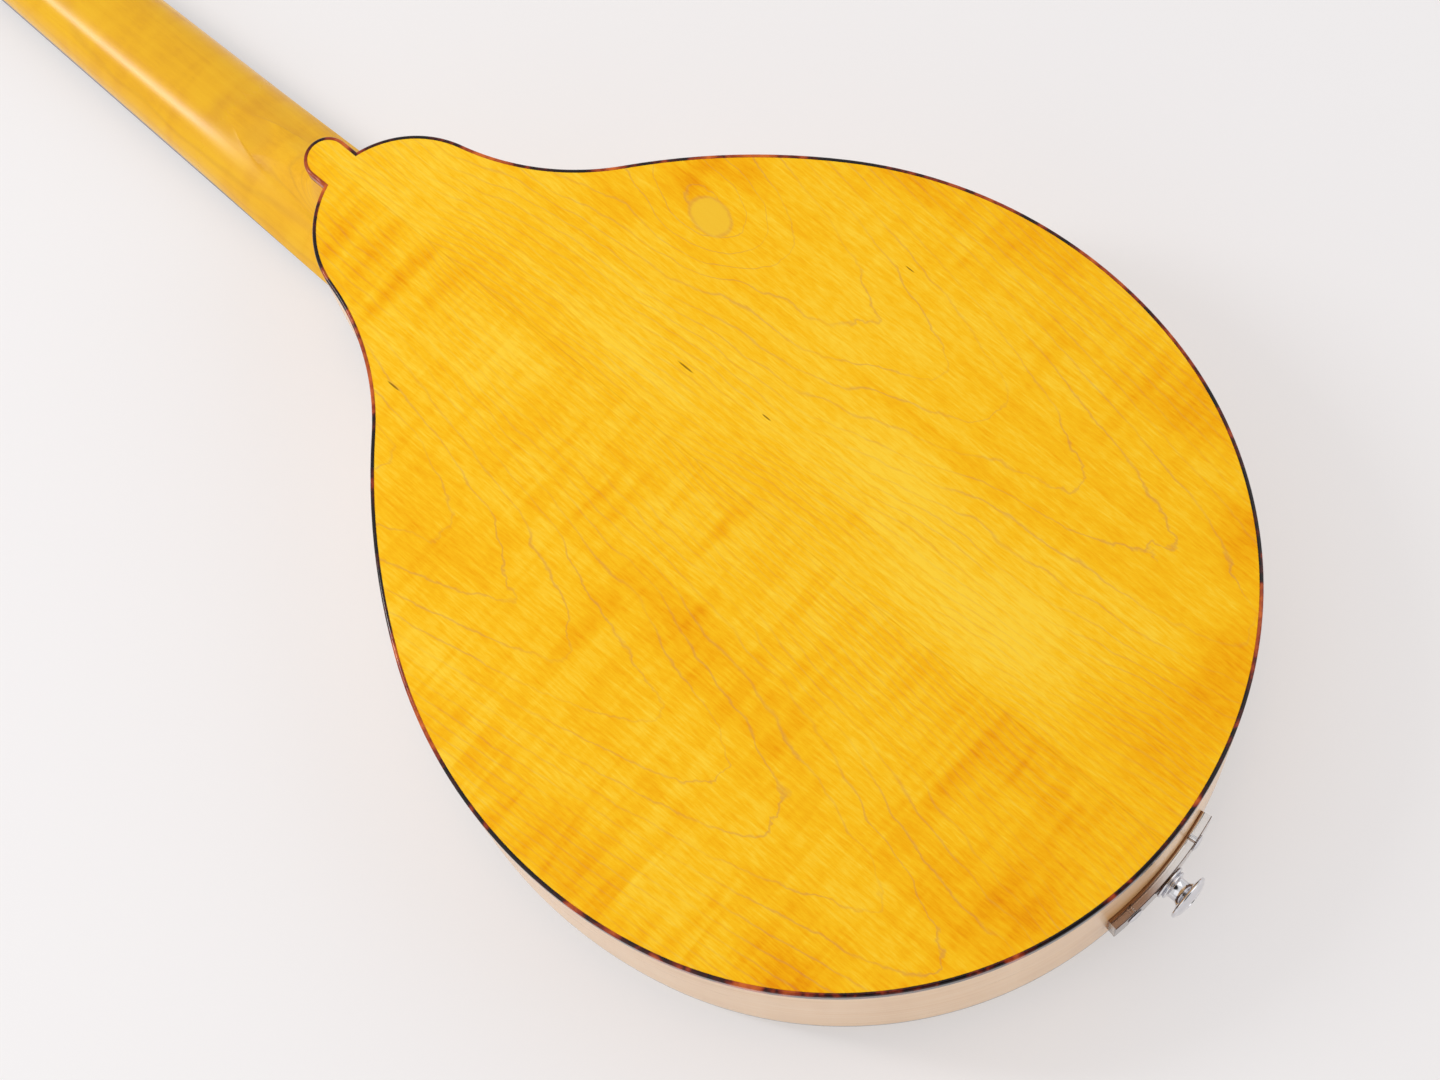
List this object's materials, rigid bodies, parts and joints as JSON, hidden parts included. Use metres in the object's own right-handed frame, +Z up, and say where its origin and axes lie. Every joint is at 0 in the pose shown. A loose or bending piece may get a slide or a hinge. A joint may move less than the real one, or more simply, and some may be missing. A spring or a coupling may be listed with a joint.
{
  "type": "oud",
  "caption": "Flat-backed oud lying face down: heeled neck, bent-back pegbox with friction pegs, fretwork rosettes, tie bridge and strap button.",
  "frame": {"origin": "centre of the base of its box, on the surface that the face-down oud rests on", "axes": "+Y from the tail to the neck, +Z up and out of the back, +X towards the bass side"},
  "size_m": [0.35, 0.8554, 0.1659],
  "materials": {
    "back_maple": "gloss amber-stained figured maple",
    "neck_maple": "satin amber-stained maple",
    "side_maple": "gloss natural maple",
    "tortoiseshell": "polished, dark with red-orange patches",
    "black_binding": "polished black",
    "spruce": "satin straight-grained",
    "plain_wood": "bare",
    "dark_wood": "satin walnut",
    "shim_wood": "satin brown",
    "ebony": "satin black",
    "bone": "polished bone",
    "chrome": "polished",
    "clear_acrylic": "clear polished plastic",
    "plain_string": "translucent nylon",
    "wound_string": "silver-wound"
  },
  "bodies": {
    "oud": {"back_plate": "back_maple", "back_binding": "tortoiseshell", "front_binding": "black_binding", "side_bass": "side_maple", "side_treble": "side_maple", "tail_block": "plain_wood", "neck_block": "plain_wood", "front_lining_bass": "plain_wood", "front_lining_treble": "plain_wood", "back_lining_bass": "plain_wood", "back_lining_treble": "plain_wood", "back_brace_1": "spruce", "back_brace_2": "spruce", "back_brace_3": "spruce", "soundboard_brace_1": "spruce", "soundboard_brace_2": "spruce", "soundboard_brace_3": "spruce", "soundboard_brace_4": "spruce", "soundboard": "spruce", "rosette_main": "dark_wood", "rosette_bass": "dark_wood", "rosette_treble": "dark_wood", "pickguard": "dark_wood", "bridge": "dark_wood", "neck": "neck_maple", "fingerboard": "ebony", "nut": "bone", "pegbox_cheek_bass": "dark_wood", "pegbox_cheek_treble": "dark_wood", "pegbox_floor": "dark_wood", "pegbox_end_cap": "dark_wood", "string_1": "wound_string", "string_2": "wound_string", "string_3": "wound_string", "string_4": "wound_string", "string_5": "wound_string", "string_6": "plain_string", "string_7": "plain_string", "string_8": "plain_string", "string_9": "plain_string", "string_10": "plain_string", "string_11": "plain_string", "tail_shim": "shim_wood", "tail_plate": "clear_acrylic", "strap_button": "chrome", "strap_screw": "chrome", "tail_screw_bass": "chrome", "tail_screw_treble": "chrome"},
    "peg_1": {"peg_1": "ebony"},
    "peg_2": {"peg_2": "ebony"},
    "peg_3": {"peg_3": "ebony"},
    "peg_4": {"peg_4": "ebony"},
    "peg_5": {"peg_5": "ebony"},
    "peg_6": {"peg_6": "ebony"},
    "peg_7": {"peg_7": "ebony"},
    "peg_8": {"peg_8": "ebony"},
    "peg_9": {"peg_9": "ebony"},
    "peg_10": {"peg_10": "ebony"},
    "peg_11": {"peg_11": "ebony"}
  },
  "joints": [
    {"name": "peg_1_turn", "type": "hinge", "parent": "oud", "child": "peg_1", "pos_m": [0, 0.3105, 0.03076], "axis": [1, 0, 0], "continuous": true},
    {"name": "peg_2_turn", "type": "hinge", "parent": "oud", "child": "peg_2", "pos_m": [0, 0.31963, 0.04137], "axis": [-1, 0, 0], "continuous": true},
    {"name": "peg_3_turn", "type": "hinge", "parent": "oud", "child": "peg_3", "pos_m": [0, 0.32876, 0.05199], "axis": [1, 0, 0], "continuous": true},
    {"name": "peg_4_turn", "type": "hinge", "parent": "oud", "child": "peg_4", "pos_m": [0, 0.33789, 0.0626], "axis": [-1, 0, 0], "continuous": true},
    {"name": "peg_5_turn", "type": "hinge", "parent": "oud", "child": "peg_5", "pos_m": [0, 0.34702, 0.07322], "axis": [1, 0, 0], "continuous": true},
    {"name": "peg_6_turn", "type": "hinge", "parent": "oud", "child": "peg_6", "pos_m": [0, 0.35615, 0.08383], "axis": [-1, 0, 0], "continuous": true},
    {"name": "peg_7_turn", "type": "hinge", "parent": "oud", "child": "peg_7", "pos_m": [0, 0.36528, 0.09445], "axis": [1, 0, 0], "continuous": true},
    {"name": "peg_8_turn", "type": "hinge", "parent": "oud", "child": "peg_8", "pos_m": [0, 0.37441, 0.10506], "axis": [-1, 0, 0], "continuous": true},
    {"name": "peg_9_turn", "type": "hinge", "parent": "oud", "child": "peg_9", "pos_m": [0, 0.38354, 0.11568], "axis": [1, 0, 0], "continuous": true},
    {"name": "peg_10_turn", "type": "hinge", "parent": "oud", "child": "peg_10", "pos_m": [0, 0.39267, 0.12629], "axis": [-1, 0, 0], "continuous": true},
    {"name": "peg_11_turn", "type": "hinge", "parent": "oud", "child": "peg_11", "pos_m": [0, 0.4018, 0.13691], "axis": [1, 0, 0], "continuous": true}
  ]
}
